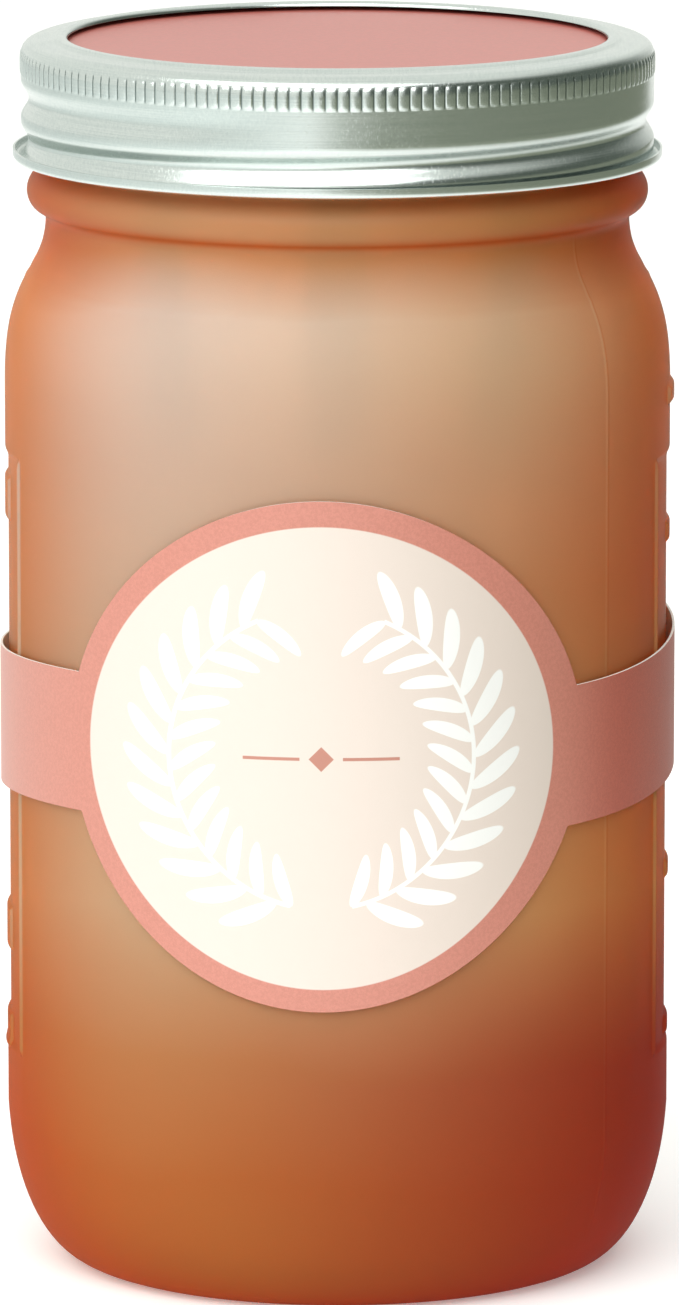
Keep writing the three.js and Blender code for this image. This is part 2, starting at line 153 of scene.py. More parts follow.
# Disc, label and what shows on it.
DISC_TOP = heights("lid_disc")[1]
DISC_RADIUS = 44.0
DISC_SKIRT = 1.9
DISC_THICKNESS = 0.5
LABEL_RADIUS = 48.4
LABEL_THICKNESS = 0.33
LABEL_HEIGHT = 20.0
FACE_AZIMUTH = -2.7
FACE_Z = 81.8
FACE_HALF_WIDTH = 36.1
FACE_HALF_HEIGHT = 36.5
CREAM_Z = 81.6
CREAM_HALF_WIDTH = 32.8
CREAM_HALF_HEIGHT = 33.1
LABEL_OVERLAP = 9.0
LABEL_STEP = 0.6
LABEL_STEP_AZIMUTH = 160
STRIP_MEAN_Z = 81.8
STRIP_WAVES = (-1.85, 0.35, 1.4, -1.7)
# How far along X the painted shade on the print begins and is full.
PAINTED_SHADE_SPAN = (30.0, 42.0)

# What the jar holds. A packet has its width, its length and its turn on the plug in degrees.
SEAL_RADII = (38.95, 42.1)
PLUG_RADII = (29.4, 32.3)
SOCKET_RADIUS = 3.6
SOCKET_TOP = 134.6
CRUMB_WAVES = 14
CRUMB_LENGTH = 22.0
SIDE_CRUMB = 1.1
TOP_CRUMB = 1.6
FIBRE_DEPTH = 0.1
SEED_PACKET = (40.0, 52.0, 14.0)
FOOD_SACHET = (34.0, 44.0, -28.0)
SEAM_THICKNESS = 0.4
FILLING_REACH = 6.0
CRIMP_HEIGHT = 0.08
CRIMP_PITCH = 0.9

# Studio: the floor's half width, and the stretches over which it dims, two of them with an azimuth first.
# The room's dim side has its azimuth, and fades out by the cosine from there and by how high up it is.
FLOOR_HALF = 6000.0
FLOOR_FAR = (75.0, 70.0, 420.0)
FLOOR_LEFT = (120.0, 500.0)
FLOOR_NEAR_RIGHT = (110.0, 30.0, 130.0)
FLOOR_GLOW = 0.26
DIM_AZIMUTH = 82.0
DIM_COSINES = (0.0, 0.75)
DIM_HEIGHTS = (0.4, 0.95)


def ease(value, low, high):
    """A smooth step: 0 up to low, 1 from high, and 3s^2 - 2s^3 of the share s between them."""
    share = np.clip((value - low) / (high - low), 0, 1)
    return share * share * (3 - 2 * share)


def hump(distance, half, edge):
    """1 near the middle, falling smoothly to 0 over the last edge before the distance reaches half."""
    return 1 - ease(np.abs(distance), half - edge, half)


def bezier(start, pull_a, pull_b, end, steps):
    """Points of a cubic curve: its two ends and two pulls, weighted by the Bernstein polynomials."""
    share = np.linspace(0, 1, steps + 1)[:, None]
    rest = 1 - share
    weights = (rest**3, 3 * rest**2 * share, 3 * rest * share**2, share**3)
    points = (start, pull_a, pull_b, end)
    return sum(weight * np.array(point, float) for weight, point in zip(weights, points))


def round_stretch(centre, radius, start, end, steps):
    """Points of a round stretch of an outline, by angle in degrees from straight out."""
    angle = np.radians(np.linspace(start, end, steps + 1))
    return np.array(centre) + radius * np.stack([np.cos(angle), np.sin(angle)], axis=1)


def straight(start, end, steps):
    """Points of a straight stretch of an outline."""
    share = np.linspace(0, 1, steps + 1)[:, None]
    return (1 - share) * np.array(start, float) + share * np.array(end, float)


def gathered(low, high, step, places, reach, fine):
    """Numbers from low to high a step apart, and a fine step apart within reach of each place."""
    close = [np.arange(place - reach, place + reach + fine / 2, fine) for place in places]
    merged = np.sort(np.concatenate([np.arange(low, high, step), *close]))
    merged = merged[(merged >= low) & (merged < high)]
    return merged[np.append(True, np.diff(merged) > fine / 2)]


def turn_apart(azimuth, middle):
    """How far an azimuth is from a middle one, in degrees either way round."""
    return (azimuth - middle + TURN / 2) % TURN - TURN / 2


def ring_points(radius, azimuth, z):
    """Points from radius, azimuth and height, which may be arrays of one shape: x = r sin a, y = -r cos a."""
    angle = np.radians(azimuth)
    radius, angle, z = np.broadcast_arrays(radius, angle, z)
    return np.stack([radius * np.sin(angle), -radius * np.cos(angle), z], axis=-1).reshape(-1, 3)


def sheet_faces(rows, columns):
    """Faces of a thin closed sheet, whose front grid of points, row by row, is followed by its back grid. The
    front's faces come first."""
    front, back = np.arange(2 * rows * columns).reshape(2, rows, columns)

    def quads(a, b, c, d):
        return np.stack([a, b, c, d], axis=-1).reshape(-1, 4)

    skin = quads(front[:-1, :-1], front[:-1, 1:], front[1:, 1:], front[1:, :-1])
    rest = (
        quads(back[:-1, 1:], back[:-1, :-1], back[1:, :-1], back[1:, 1:]),
        quads(front[-1, :-1], front[-1, 1:], back[-1, 1:], back[-1, :-1]),
        quads(front[0, 1:], front[0, :-1], back[0, :-1], back[0, 1:]),
        quads(front[:-1, 0], front[1:, 0], back[1:, 0], back[:-1, 0]),
        quads(front[1:, -1], front[:-1, -1], back[:-1, -1], back[1:, -1]),
    )
    return np.vstack([skin, *rest]), len(skin)


def mesh_piece(name, points, faces, finishes, kinds=None, sharp=None):
    """A new object at the origin from points in millimetres and faces as lists of point numbers."""
    mesh = bpy.data.meshes.new(name)
    mesh.from_pydata((np.asarray(points, float) * MM).tolist(), [], faces)
    for finish in finishes:
        mesh.materials.append(finish)
    if kinds is not None:
        mesh.polygons.foreach_set("material_index", np.asarray(kinds, np.int32))
    mesh.shade_smooth()
    if sharp is not None:
        mesh.set_sharp_from_angle(angle=math.radians(sharp))
    piece = bpy.data.objects.new(name, mesh)
    bpy.context.scene.collection.objects.link(piece)
    return piece


def belt_faces(lower, upper):
    """Faces between two rings of point numbers. Where one ring has several points for each of the other's, a
    face takes all of them in."""
    count = min(len(lower), len(upper))
    low_share = len(lower) // count
    high_share = len(upper) // count
    low_steps = np.arange(low_share + 1)
    high_steps = np.arange(high_share, -1, -1)
    cells = np.arange(count)[:, None]
    low = lower[(cells * low_share + low_steps) % len(lower)]
    high = upper[(cells * high_share + high_steps) % len(upper)]
    return np.hstack([low, high]).tolist()


def turned_piece(name, rings, finishes, ends="closed", sharp=None):
    """A surface from rings of (radius, azimuth, height) arrays, each running up or outward from the one
    before it. Its last ring meets its first one, or both ends close on the axis as poles."""
    numbers = []
    points = []
    total = 0
    for radius, azimuth, z in rings:
        ring = ring_points(radius, azimuth, z)
        points.append(ring)
        numbers.append(np.arange(total, total + len(ring)))
        total += len(ring)
    faces = []
    for lower, upper in zip(numbers, numbers[1:]):
        faces += belt_faces(lower, upper)
    if ends == "closed":
        faces += belt_faces(numbers[-1], numbers[0])
    else:
        for ring, pole, order in ((numbers[0], total, -1), (numbers[-1], total + 1, 1)):
            after = np.roll(ring, -1)
            fan = np.stack([ring, after, np.full(len(ring), pole)], axis=1)[:, ::order]
            faces += fan.tolist()
        points.append([[0, 0, ends[0]], [0, 0, ends[1]]])
    return mesh_piece(name, np.concatenate(points), faces, finishes, sharp=sharp)


class Number:
    """A number that changes over a surface. Arithmetic on it adds Math nodes to its material."""

    def __init__(self, finish, socket):
        self.finish = finish
        self.socket = socket

    def math(self, operation, *others):
        return self.finish.math(operation, self, *others)

    def __add__(self, other):
        return self.math("ADD", other)

    def __sub__(self, other):
        return self.math("SUBTRACT", other)

    def __mul__(self, other):
        return self.math("MULTIPLY", other)

    def __truediv__(self, other):
        return self.math("DIVIDE", other)

    def __rsub__(self, other):
        return self.finish.math("SUBTRACT", other, self)

    __radd__ = __add__
    __rmul__ = __mul__


class Finish:
    """A material or a world that is worked out in nodes."""

    def __init__(self, holder):
        holder.use_nodes = True
        self.holder = holder
        self.tree = holder.node_tree

    def node(self, kind, settings, sockets):
        """A node of a kind, with its settings made first, and then its sockets' values or links."""
        made = self.tree.nodes.new(kind)
        for name, value in settings.items():
            setattr(made, name, value)
        for name, value in sockets.items():
            if isinstance(value, Number):
                self.tree.links.new(value.socket, made.inputs[name])
            elif isinstance(value, bpy.types.NodeSocket):
                self.tree.links.new(value, made.inputs[name])
            else:
                made.inputs[name].default_value = value
        return made

    def math(self, operation, *values):
        """A Math node's result on numbers that change or stay."""
        made = self.node("ShaderNodeMath", {"operation": operation}, dict(enumerate(values)))
        return Number(self, made.outputs[0])

    def met(self, way):
        """1 where a ray meets the surface in a way, such as straight from the eye, and 0 elsewhere."""
        return Number(self, self.node("ShaderNodeLightPath", {}, {}).outputs[way])

    def place(self):
        """The surface's own place in millimetres, as a vector."""
        place = self.node("ShaderNodeTexCoord", {}, {}).outputs["Object"]
        return self.scaled(place, (1 / MM,) * 3)

    def scaled(self, vector, by):
        """A vector multiplied along each axis."""
        made = self.node("ShaderNodeVectorMath", {"operation": "MULTIPLY"}, {0: vector, 1: by})
        return made.outputs[0]

    def parts(self, vector):
        """A vector's x, y and z as numbers."""
        made = self.node("ShaderNodeSeparateXYZ", {}, {0: vector})
        return [Number(self, output) for output in made.outputs]

    def noise(self, vector, scale, detail=2.0, roughness=0.5):
        """Smooth noise about a half, with scale waves a millimetre."""
        sockets = {"Vector": vector, "Scale": scale, "Detail": detail, "Roughness": roughness}
        made = self.node("ShaderNodeTexNoise", {"noise_dimensions": "3D"}, sockets)
        return Number(self, made.outputs[0])

    def step(self, value, low, high):
        """A smooth step from 0 at low to 1 at high."""
        settings = {"interpolation_type": "SMOOTHSTEP"}
        sockets = {"Value": value, "From Min": low, "From Max": high}
        return Number(self, self.node("ShaderNodeMapRange", settings, sockets).outputs[0])

    def mixed(self, share, first, second):
        """A colour that goes from the first to the second as share goes from 0 to 1."""
        made = self.node("ShaderNodeMix", {"data_type": "RGBA"}, {0: share, 6: first, 7: second})
        return made.outputs[2]

    def tinted(self, share, colour, tint):
        """A colour that is multiplied by a tint, given as a colour or a link, as share goes from 0 to 1."""
        settings = {"data_type": "RGBA", "blend_type": "MULTIPLY"}
        return self.node("ShaderNodeMix", settings, {0: share, 6: colour, 7: tint}).outputs[2]

    def ramp(self, share, stops):
        """A colour that follows stops of (place, colour) as share goes from 0 to 1."""
        made = self.node("ShaderNodeValToRGB", {}, {0: share})
        for position, colour in stops[2:]:
            made.color_ramp.elements.new(position).color = colour
        for element, (position, colour) in zip(made.color_ramp.elements, stops):
            element.position = position
            element.color = colour
        return made.outputs[0]

    def dress(self, constants, changing):
        """Sets the shader's own sockets, and links those that change over the surface."""
        shader = self.tree.nodes["Principled BSDF"]
        for name, value in constants.items():
            shader.inputs[name].default_value = value
        for name, value in changing.items():
            self.tree.links.new(value.socket if isinstance(value, Number) else value, shader.inputs[name])
        return self.holder

    def bumped(self, height, distance):
        """A normal tilted by a height, which is in shares of a distance in millimetres."""
        made = self.node("ShaderNodeBump", {}, {"Strength": 1.0, "Distance": distance * MM, "Height": height})
        return made.outputs[0]


def new_finish(name):
    return Finish(bpy.data.materials.new(name))


def frosted_glass():
    """Etched glass whose tint deepens with the length of the way through the wall. Its colour also holds
    painted
    light: a painted highlight makes the shoulder pale pinkish, the orange brown towards the base is partly
    the thick base's own tint and partly painted shade, a band at the neck is painted shade under the band,
    and the glass is painted darker towards +X as shade."""
    # Tint by height, partly the glass's own and partly painted light: the pale stop near the top is a painted
    # highlight on the shoulder, the deeper stop above it is painted shade at the neck under the band, and the
    # orange brown low down is partly painted shade.
    height_tint_and_painted_light = (
        (0.0, (0.65, 0.26, 0.05, 1)),
        (0.11, (0.66, 0.26, 0.063, 1)),
        (0.21, (0.67, 0.36, 0.14, 1)),
        (0.33, (0.75, 0.60, 0.40, 1)),
        (0.50, (0.74, 0.58, 0.40, 1)),
        (0.70, (0.77, 0.64, 0.54, 1)),
        (0.82, (0.86, 0.77, 0.70, 1)),
        (0.87, (0.74, 0.41, 0.19, 1)),
    )
    # Painted shade: how much darker and redder the glass is painted towards +X, the side turned from the
    # light.
    painted_right_shade_tints = (
        (0.0, (0.76, 0.25, 0.26, 1)),
        (0.20, (0.76, 0.25, 0.24, 1)),
        (0.33, (1.00, 0.74, 0.42, 1)),
        (0.60, (1.00, 0.62, 0.32, 1)),
        (0.78, (1.00, 0.84, 0.56, 1)),
    )
    rim_tint = (0.96, 0.43, 0.13, 1)
    finish = new_finish("frosted_glass")
    place = finish.place()
    x, _, z = finish.parts(place)
    drift = finish.noise(place, 0.02, 2) * 14 - 7
    level = (z + drift) / GLASS_HEIGHT
    facing = finish.node("ShaderNodeLayerWeight", {}, {"Blend": 0.5}).outputs["Facing"]
    edge = finish.step(Number(finish, facing), 0.1, 0.8)
    # The height ramp above carries painted highlight and painted shade, as well as the glass's tint.
    tint = finish.tinted(edge, finish.ramp(level, height_tint_and_painted_light), rim_tint)
    # Painted shade towards +X, fading in across the jar from -X.
    side = finish.step(x + drift, -BODY_RADIUS, BODY_RADIUS)
    tint = finish.tinted(side, tint, finish.ramp(level, painted_right_shade_tints))
    grain = finish.noise(place, 5.0, 3, 0.6)
    sag = finish.noise(finish.scaled(place, (1, 1, 0.35)), 0.06, 1)
    normal = finish.bumped(sag + grain * 0.02, 0.9)
    absorbed = {"Color": (0.97, 0.62, 0.30, 1), "Density": 75.0}
    body = finish.node("ShaderNodeVolumeAbsorption", {}, absorbed)
    finish.tree.links.new(body.outputs[0], finish.tree.nodes["Material Output"].inputs["Volume"])
    satin = {"Coat IOR": 1.5, "Coat Roughness": 0.5}
    haze = finish.step(z, 25, 110) * 0.4 + 0.06
    constants = {"IOR": 1.22, "Transmission Weight": 0.6, "Specular IOR Level": 0.3, **satin}
    changing = {"Base Color": tint, "Roughness": grain * 0.1 + 0.72, "Coat Weight": haze, "Normal": normal}
    return finish.dress(constants, changing)


def tinplate():
    """Bright tin with faint rolling lines round it and fine slanted scratches, and painted shade in the lines
    between the knurl's pads.
    """
    bright = (0.70, 0.75, 0.725, 1)
    dull = (0.60, 0.66, 0.645, 1)
    # Painted shade for the dark lines between the knurl's pads.
    groove_painted_shade = (0.22, 0.26, 0.25, 1)
    finish = new_finish("tinplate")
    place = finish.place()
    lines = finish.noise(finish.scaled(place, (0.05, 0.05, 9)), 1.0, 3, 0.6)
    slant = {"Vector": place, "Rotation": (0.5, 0.7, 0.4), "Scale": (4.0, 0.2, 1.6)}
    slanted = finish.node("ShaderNodeMapping", {}, slant).outputs[0]
    scratches = finish.noise(slanted, 1.2, 4, 0.7)
    cloud = finish.noise(place, 0.12, 2)
    tone = finish.mixed(finish.step(scratches * 0.5 + lines * 0.5, 0.35, 0.62), dull, bright)
    roughness = lines * 0.08 + cloud * 0.12 + 0.12
    x, y, z = finish.parts(place)
    turn = x.math("ARCTAN2", 0 - y) * (KNURL_RIBS / math.tau)
    between = ((turn + KNURL_RIBS).math("FRACT") - 0.5).math("ABSOLUTE")
    middle = sum(KNURL_Z) / 2
    reach = (KNURL_Z[1] - KNURL_Z[0]) / 2
    on_knurl = 1 - finish.step((z - middle).math("ABSOLUTE"), reach - 0.5, reach)
    outside = finish.step((x * x + y * y).math("SQRT"), WALL_RADIUS - 0.1, WALL_RADIUS)
    # Painted shade: the lines between the knurl's pads on the outside are painted dark.
    shade = finish.step(between, PAD_HALF - 0.05, PAD_HALF) * on_knurl * outside
    tone = finish.mixed(shade, tone, groove_painted_shade)
    normal = finish.bumped(lines * 0.4 + finish.step(scratches, 0.55, 0.75) * 0.6, 0.012)
    return finish.dress({"Metallic": 1.0}, {"Base Color": tone, "Roughness": roughness, "Normal": normal})


def pink_lacquer():
    """Satin lacquer with a faint orange-peel surface and a slight mottle."""
    light = (0.56, 0.155, 0.13, 1)
    dark = (0.49, 0.125, 0.10, 1)
    finish = new_finish("pink_lacquer")
    place = finish.place()
    mottle = finish.noise(place, 1.4, 4, 0.65)
    peel = finish.noise(place, 1.8, 2)
    tone = finish.mixed(finish.step(mottle, 0.35, 0.65), dark, light)
    changing = {"Base Color": tone, "Roughness": mottle * 0.15 + 0.36, "Normal": finish.bumped(peel, 0.03)}
    return finish.dress({"Coat Weight": 0.25, "Coat Roughness": 0.3}, changing)


def card_fibre(finish, place):
    """The card's fine fibre and coarser mottle, as two numbers about a half."""
    fibre = finish.noise(finish.scaled(place, (1, 1, 0.6)), 9.0, 4, 0.7)
    mottle = finish.noise(place, 2.2, 4, 0.6)
    return fibre, mottle


def leaf_ring(finish, across, up):
    """A wreath of two sprays: the angle round the face repeats one slanted leaf, whose outline is where the
    squared shares of its length and its width add up to 1. The numbers of the first and last leaf leave a gap
    at the top and at the foot."""
    leaves = 30
    ring_radius = 21.5
    leaf_length = 3.3
    leaf_width = 0.30
    leaf_reach = 3.2
    slant = 0.16
    half_stem = 0.3
    soft = 0.05
    outline = (0.9, 1.05)
    radius = (across * across + up * up).math("SQRT")
    turn = across.math("ARCTAN2", up) * (leaves / math.tau)
    mirrored = turn.math("ABSOLUTE")
    outward = radius - ring_radius
    first = 2
    last = leaves // 2 - 1
    on_stem = finish.step(mirrored, first, first + soft) * (1 - finish.step(mirrored, last, last + soft))
    wreath = (1 - finish.step(outward.math("ABSOLUTE"), half_stem - soft, half_stem + soft)) * on_stem
    for side, shift, final in ((1, 0.0, last - 1), (-1, 0.5, last)):
        lean = mirrored + outward * (slant * side) + shift
        number = lean.math("FLOOR")
        begun = finish.step(number, first - 0.6, first - 0.4)
        kept = begun * (1 - finish.step(number, final + 0.4, final + 0.6))
        widths = (lean.math("FRACT") - 0.5) / leaf_width
        lengths = (outward * side - leaf_reach) / leaf_length
        inside = widths.math("POWER", 2) + lengths.math("POWER", 2)
        wreath = wreath.math("MAXIMUM", (1 - finish.step(inside, *outline)) * kept)
    return wreath


def divider(finish, across, up):
    """A thin rule each side of a small diamond, at the middle of the face."""
    diamond_edge = (1.7, 1.85)
    rule_edge = (0.18, 0.28)
    rule_start = (3.0, 3.1)
    rule_end = (11.0, 11.1)
    width = across.math("ABSOLUTE")
    height = up.math("ABSOLUTE")
    diamond = 1 - finish.step(width + height, *diamond_edge)
    thin = 1 - finish.step(height, *rule_edge)
    rule = thin * finish.step(width, *rule_start) * (1 - finish.step(width, *rule_end))
    return diamond.math("MAXIMUM", rule)


def printed_card():
    """Coated card printed dusty pink, with painted shade towards +X: the pink is painted deeper and its coat
    is lessened there. A cream round on the front holds the wreath."""
    pink = (0.61, 0.21, 0.15, 1)
    pink_speck = (0.54, 0.175, 0.12, 1)
    # Painted shade: the tint that darkens the pink towards +X, the side turned from the light.
    painted_shade_pink = (0.84, 0.50, 0.42, 1)
    gloss_lost = 0.8
    cream = (0.77, 0.66, 0.59, 1)
    white = (0.93, 0.93, 0.91, 1)
    rose = (0.50, 0.19, 0.13, 1)
    finish = new_finish("printed_card")
    place = finish.place()
    x, y, z = finish.parts(place)
    fibre, mottle = card_fibre(finish, place)
    face_x = LABEL_RADIUS * math.sin(math.radians(FACE_AZIMUTH))
    across = x - face_x
    up = z - CREAM_Z
    share = (across / CREAM_HALF_WIDTH).math("POWER", 2) + (up / CREAM_HALF_HEIGHT).math("POWER", 2)
    front = finish.step(y, 1, 0)
    round_face = (1 - finish.step(share, 0.992, 1.004)) * front
    leaves = leaf_ring(finish, across, up)
    mark = divider(finish, across, up)
    speckled = finish.mixed(finish.step(fibre * 0.5 + mottle * 0.5, 0.42, 0.58), pink_speck, pink)
    # Share of the painted shade, from none to full along +X; the coat is lessened by it too.
    painted_shade_share = finish.step(x, *PAINTED_SHADE_SPAN)
    speckled = finish.tinted(painted_shade_share, speckled, painted_shade_pink)
    face = finish.mixed(leaves, cream, white)
    face = finish.mixed(mark, face, rose)
    tone = finish.mixed(round_face, speckled, face)
    changing = {
        "Base Color": tone,
        "Roughness": mottle * 0.1 + 0.5,
        "Coat Weight": 1 - painted_shade_share * gloss_lost,
        "Normal": finish.bumped(fibre, 0.04),
    }
    laminate = {"Specular IOR Level": 0.8, "Coat IOR": 1.55, "Coat Roughness": 0.5}
    return finish.dress(laminate, changing)


def card_core():
    """The card's cut edge and back: white pulp with faint layers."""
    white = (0.93, 0.92, 0.88, 1)
    grey = (0.82, 0.80, 0.75, 1)
    finish = new_finish("card_core")
    place = finish.place()
    fibre, mottle = card_fibre(finish, place)
    tone = finish.mixed(finish.step(mottle, 0.3, 0.7), grey, white)
    return finish.dress({"Roughness": 0.9}, {"Base Color": tone, "Normal": finish.bumped(fibre, 0.05)})


def soft_matter(name, dark, light, scale, bump, roughness, stretch=(1, 1, 1)):
    """A matt finish whose tone and surface follow one noise, stretched as fibres are."""
    finish = new_finish(name)
    place = finish.scaled(finish.place(), stretch)
    fibre = finish.noise(place, scale, 4, 0.65)
    tone = finish.mixed(finish.step(fibre, 0.3, 0.7), dark, light)
    changing = {"Base Color": tone, "Normal": finish.bumped(fibre, bump)}
    return finish.dress({"Roughness": roughness}, changing)


def jar_outline():
    """The jar's outside section from its middle underneath to its rim, and its inside back to the floor."""
    body = (BODY_RADIUS, SHOULDER_BOTTOM)
    neck = (NECK_RADIUS, NECK_TOP)
    bead = (BEAD_RADIUS, BEAD_Z)
    bars = [z + side * height / 2 for _, z, height, _, _ in LEVEL_BARS for side in (-1, 1)]
    levels = gathered(
        HEEL_TOP, SHOULDER_BOTTOM, step=2.5, places=[*bars, *PANEL_Z], reach=0.75, fine=0.25
    )
    under = bezier((POLE_RADIUS, PUSH_UP), (20, PUSH_UP), (29, 0.9), (BEARING_INNER_RADIUS, 0), 8)
    heel = bezier((BASE_RADIUS, 0), (42.5, 0), (47.2, 10), (BODY_RADIUS, HEEL_TOP), 22)
    wall = np.stack([np.full(len(levels), BODY_RADIUS), levels], axis=1)
    shoulder = bezier(body, (BODY_RADIUS, 136), (46.8, 139.9), SHOULDER_TURN, 22)
    throat = bezier(SHOULDER_TURN, (43, 146.7), (NECK_RADIUS, 148.6), neck, 14)
    bead_low = bezier((NECK_RADIUS + 0.8, NECK_TOP + 0.8), (44, 153.6), (BEAD_RADIUS, 154.8), bead, 8)
    bead_high = bezier(bead, (BEAD_RADIUS, 157.6), (43.4, 158.6), (FINISH_RADIUS, FINISH_BOTTOM), 8)
    finish = straight((FINISH_RADIUS, FINISH_BOTTOM), (FINISH_RADIUS, RIM_TOP - RIM_ROUND), 30)
    rim_out = round_stretch((FINISH_RADIUS - RIM_ROUND, RIM_TOP - RIM_ROUND), RIM_ROUND, 0, 90, 4)
    outside = np.vstack(
        [under, heel, wall[1:], shoulder, throat[1:], bead_low, bead_high[1:], finish[1:], rim_out[1:]]
    )
    rim_in = round_stretch((MOUTH_RADIUS + RIM_ROUND, RIM_TOP - RIM_ROUND), RIM_ROUND, 90, 180, 4)
    mouth = bezier((MOUTH_RADIUS, 151), (MOUTH_RADIUS, 146.5), (INNER_RADIUS, 140), (INNER_RADIUS, 127), 16)
    dip = FLOOR_Z - FLOOR_DIP
    floor = bezier((INNER_RADIUS, 22), (INNER_RADIUS - 0.4, 11), (39, dip), (31, dip), 16)
    inside = np.vstack([rim_in, mouth, floor, [(POLE_RADIUS, FLOOR_Z)]])
    return outside, inside


def jar_relief(azimuth, z):
    """How far the glass stands out from its plain turned shape: a shallow recess on each side between two
    ribs, level bars in it, two mould seams, and two faint lines round the neck."""
    relief = np.zeros(np.broadcast(azimuth, z).shape)
    middle = sum(PANEL_Z) / 2
    tall = hump(z - middle, (PANEL_Z[1] - PANEL_Z[0]) / 2, PANEL_EDGE)
    to_mm = math.radians(1) * BODY_RADIUS
    for panel in PANELS:
        apart = turn_apart(azimuth, panel)
        relief -= PANEL_DEPTH * tall * hump(apart, PANEL_HALF_ANGLE + PANEL_MARGIN, PANEL_EDGE)
        for side in (-1, 1):
            rib = hump((apart - side * PANEL_HALF_ANGLE) * to_mm, RIB_HALF, RIB_HALF)
            relief += (PANEL_DEPTH / 2 + RIB_HEIGHT) * tall * rib
    for panel, level, height, length, rise in LEVEL_BARS:
        along = hump(turn_apart(azimuth, panel) * to_mm, length / 2, BAR_EDGE)
        relief += rise * along * hump(z - level, height / 2, BAR_EDGE)
    for seam in SEAMS:
        relief += SEAM_HEIGHT * hump(turn_apart(azimuth, seam) * to_mm, SEAM_HALF, SEAM_HALF)
    for line in NECK_LINES:
        relief += NECK_LINE_HEIGHT * hump(z - line, NECK_LINE_HALF, NECK_LINE_HALF)
    return relief


def thread_relief(azimuth, z):
    """The jar's thread: a ridge with sloping flanks that climbs one pitch a turn and tapers at both ends."""
    relief = np.zeros(np.broadcast(azimuth, z).shape)
    for turn in (-1, 0):
        along = azimuth / TURN + turn
        offset = np.abs(z - (THREAD_FRONT_Z + PITCH * along))
        taper = ease(np.minimum(along - THREAD_TURNS[0], THREAD_TURNS[1] - along), 0, THREAD_TAPER)
        relief += THREAD_HEIGHT * taper * (1 - ease(offset, THREAD_CREST_HALF, THREAD_ROOT_HALF))
    return relief


def make_jar(glass):
    """The glass as rings up its outline, closer together at the ribs, bars and seams. Each point's radius is
    the outline's plus the relief at its azimuth and height."""
    rib_places = [panel + side * PANEL_HALF_ANGLE for panel in PANELS for side in (-1, 1)]
    bar_places = sorted(
        {
            round(panel + side * math.degrees(length / 2 / BODY_RADIUS), 1)
            for panel, _, _, length, _ in LEVEL_BARS
            for side in (-1, 1)
        }
    )
    places = [*rib_places, *bar_places, *SEAMS]
    azimuth = gathered(0, TURN, step=2, places=places, reach=1.0, fine=0.25)
    outside, inside = jar_outline()
    body = jar_relief(azimuth[None, :], outside[:, 1:])
    body *= ease(outside[:, 1:], 0, HEEL_TOP) * (outside[:, 1:] < NECK_TOP)
    body += thread_relief(azimuth[None, :], outside[:, 1:]) * (outside[:, 1:] > FINISH_BOTTOM - 1)
    radius = np.vstack([outside[:, :1] + body, inside[:, :1] + 0 * azimuth])
    level = np.vstack([outside[:, 1:], inside[:, 1:]])
    rings = [(row, azimuth, z) for row, z in zip(radius, level)]
    jar = turned_piece("frosted_jar", rings, [glass], ends=(PUSH_UP, FLOOR_Z), sharp=50)
    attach(jar, "jar")
    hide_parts("glass_jar")


def pressed_depth(azimuth, z):
    """How deep the thread is pressed into the band: a cosine valley along the helix, fading in and out over
    its first and last turns."""
    depth = np.zeros(np.broadcast(azimuth, z).shape)
    for turn in (-1, 0, 1):
        along = azimuth / TURN + turn
        offset = np.clip((z - (PRESSED_FRONT_Z + PITCH * along)) / PRESSED_WIDTH, -0.5, 0.5)
        fade = ease(along, *PRESSED_START) * (1 - ease(along, *PRESSED_END))
        depth += PRESSED_DEPTH * fade * (0.5 + 0.5 * np.cos(math.tau * offset))
    return depth


def band_line():
    """The tin's centre line from the lip of its curled hem up the wall, over the shoulder and the flange to
    the rolled edge of the opening, in three stretches: below the knurl, along it, and above it."""
    half = TIN / 2
    lip_radius = CURL_CENTRE[0] + CURL_RADIUS
    lip = straight((lip_radius, CURL_CENTRE[1] + CURL_LIP), (lip_radius, CURL_CENTRE[1]), 2)
    curl = round_stretch(CURL_CENTRE, CURL_RADIUS, 0, -180, 14)
    rise = bezier(curl[-1], (curl[-1][0], 162), (WALL_RADIUS, 162), (WALL_RADIUS, WALL_BOTTOM), 4)
    wall = straight((WALL_RADIUS, WALL_BOTTOM), (WALL_RADIUS, KNURL_Z[0]), 30)
    below = np.vstack([lip, curl[1:], rise[1:], wall[1:]])
    levels = np.linspace(-1, 1, 15)
    eased = KNURL_Z[0] + (KNURL_Z[1] - KNURL_Z[0]) * (np.sin(levels * math.pi / 2) / 2 + 0.5)
    lean = np.interp(eased, (KNURL_Z[0], LEAN_START, KNURL_Z[1]), (0, 0, LEAN))
    along = np.stack([WALL_RADIUS + lean, eased], axis=1)
    top = BAND_TOP - half
    shoulder = bezier(along[-1], (44.95, 176.75), (44.5, 177.15), (43.5, 177.5 - half), 7)
    trough = bezier(shoulder[-1], (42.6, 177.63 - half), (42, 177.63 - half), (41, 177.75 - half), 6)
    rise_in = bezier(trough[-1], (40.6, 177.9 - half), (40.3, top), (39.75, top), 6)
    edge = bezier(rise_in[-1], (39.1, top), (OPENING_RADIUS + half, 177.9), (OPENING_RADIUS + half, 177.5), 6)
    above = np.vstack([shoulder[1:], trough[1:], rise_in[1:], edge[1:]])
    return below, along, above


def knurl_pads(share, z):
    """How far the knurl's pads stand out: each is a round-cornered oblong, where the fourth powers of its
    shares across and up add up to less than 1."""
    middle = sum(KNURL_Z) / 2
    up = (z - middle) / ((KNURL_Z[1] - KNURL_Z[0]) / 2)
    across = (share - 0.5) / PAD_HALF
    return KNURL_HEIGHT * (1 - ease(across**4 + up**4, *PAD_EDGE))


